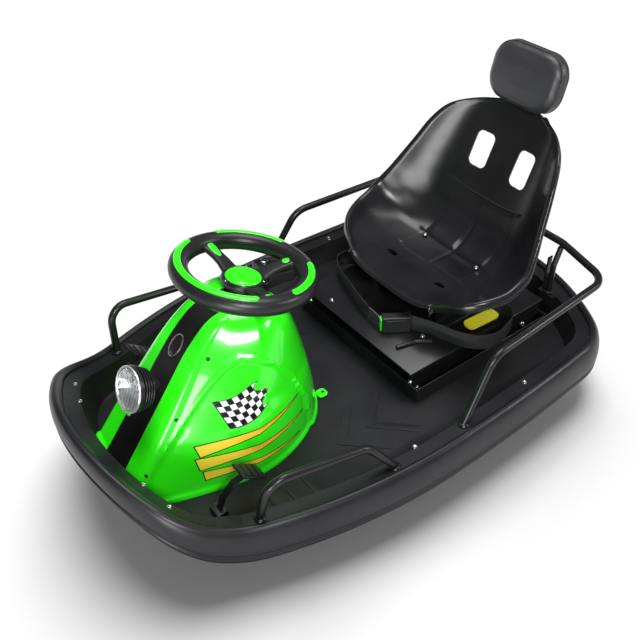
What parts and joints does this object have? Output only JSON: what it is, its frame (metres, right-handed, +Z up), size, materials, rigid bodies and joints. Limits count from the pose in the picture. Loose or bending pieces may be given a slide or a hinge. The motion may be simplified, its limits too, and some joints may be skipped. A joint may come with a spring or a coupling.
{
  "type": "kids electric go-kart",
  "caption": "Low ride-on electric kart with a soft bumper ring, a moulded bucket seat, a tall cowl, a steered driven front wheel and swivelling rear casters.",
  "frame": {"origin": "on the ground under the middle of the kart's length and width", "axes": "+X to the driver's left, -Y towards the nose, +Z up"},
  "size_m": [0.734, 1.156, 0.6567],
  "materials": {
    "bumper_black": "satin black soft plastic",
    "tray_black": "fine-grained black plastic",
    "cowl_green": "glossy bright green",
    "strip_black": "satin black",
    "frame_black": "satin black powder coat",
    "seat_black": "semi-gloss black",
    "pad_black": "black grained cover",
    "rim_black": "matt black grip",
    "lamp_black": "satin black",
    "lens_clear": "clear",
    "steel": "bright zinc",
    "tab_yellow": "yellow dipped grip",
    "webbing_black": "woven black webbing",
    "tyre_black": "matt black rubber",
    "caster_white": "pale grey plastic",
    "battery_grey": "dark grey case"
  },
  "bodies": {
    "chassis": {"accelerator_pedal": "frame_black", "base_tray": "frame_black", "battery": "battery_grey", "belt_buckle": "webbing_black", "belt_left": "webbing_black", "belt_right": "webbing_black", "belt_tongue": "steel", "brake_pedal": "frame_black", "bumper_ring": "bumper_black", "control_box": "rim_black", "cowl_left": "cowl_green", "cowl_right": "cowl_green", "cowl_strip": "strip_black", "floor_tray": "tray_black", "foot_guard_left": "frame_black", "foot_guard_right": "frame_black", "headrest_bracket": "frame_black", "headrest_pad": "pad_black", "key_switch": "steel", "lamp_housing": "lamp_black", "lamp_lens": "lens_clear", "rear_post_left": "frame_black", "rear_post_right": "frame_black", "release_rod": "frame_black", "release_tab": "tab_yellow", "seat_plate": "frame_black", "seat_shell": "seat_black", "seat_stand": "frame_black", "side_rail": "frame_black", "steering_bridge": "frame_black", "under_frame": "frame_black"},
    "steering": {"drive_fork": "frame_black", "hub_cap": "cowl_green", "rim_inlay_front": "cowl_green", "rim_inlay_left": "cowl_green", "rim_inlay_right": "cowl_green", "steering_column": "steel", "steering_rim": "rim_black"},
    "drive_wheel": {"drive_tyre": "tyre_black", "hub_motor": "steel"},
    "caster_left": {"caster_fork_left": "steel"},
    "caster_left_wheel": {"caster_wheel_left": "caster_white"},
    "caster_right": {"caster_fork_right": "steel"},
    "caster_right_wheel": {"caster_wheel_right": "caster_white"}
  },
  "joints": [
    {"name": "steering_turn", "type": "hinge", "parent": "chassis", "child": "steering", "pos_m": [0, -0.2002, 0.4325], "axis": [0, 0.2233, 0.9748], "range_deg": [-80, 80]},
    {"name": "drive_spin", "type": "hinge", "parent": "steering", "child": "drive_wheel", "pos_m": [0, -0.28208, 0.075], "axis": [1, 0, 0], "continuous": true},
    {"name": "caster_left_swivel", "type": "hinge", "parent": "chassis", "child": "caster_left", "pos_m": [0.266, 0.396, 0.0697], "axis": [0, 0, 1], "continuous": true},
    {"name": "caster_left_spin", "type": "hinge", "parent": "caster_left", "child": "caster_left_wheel", "pos_m": [0.28273, 0.41458, 0.025], "axis": [0.7431, -0.6691, 0], "continuous": true},
    {"name": "caster_right_swivel", "type": "hinge", "parent": "chassis", "child": "caster_right", "pos_m": [-0.266, 0.396, 0.0697], "axis": [0, 0, 1], "continuous": true},
    {"name": "caster_right_spin", "type": "hinge", "parent": "caster_right", "child": "caster_right_wheel", "pos_m": [-0.28273, 0.41458, 0.025], "axis": [0.7431, 0.6691, 0], "continuous": true}
  ]
}
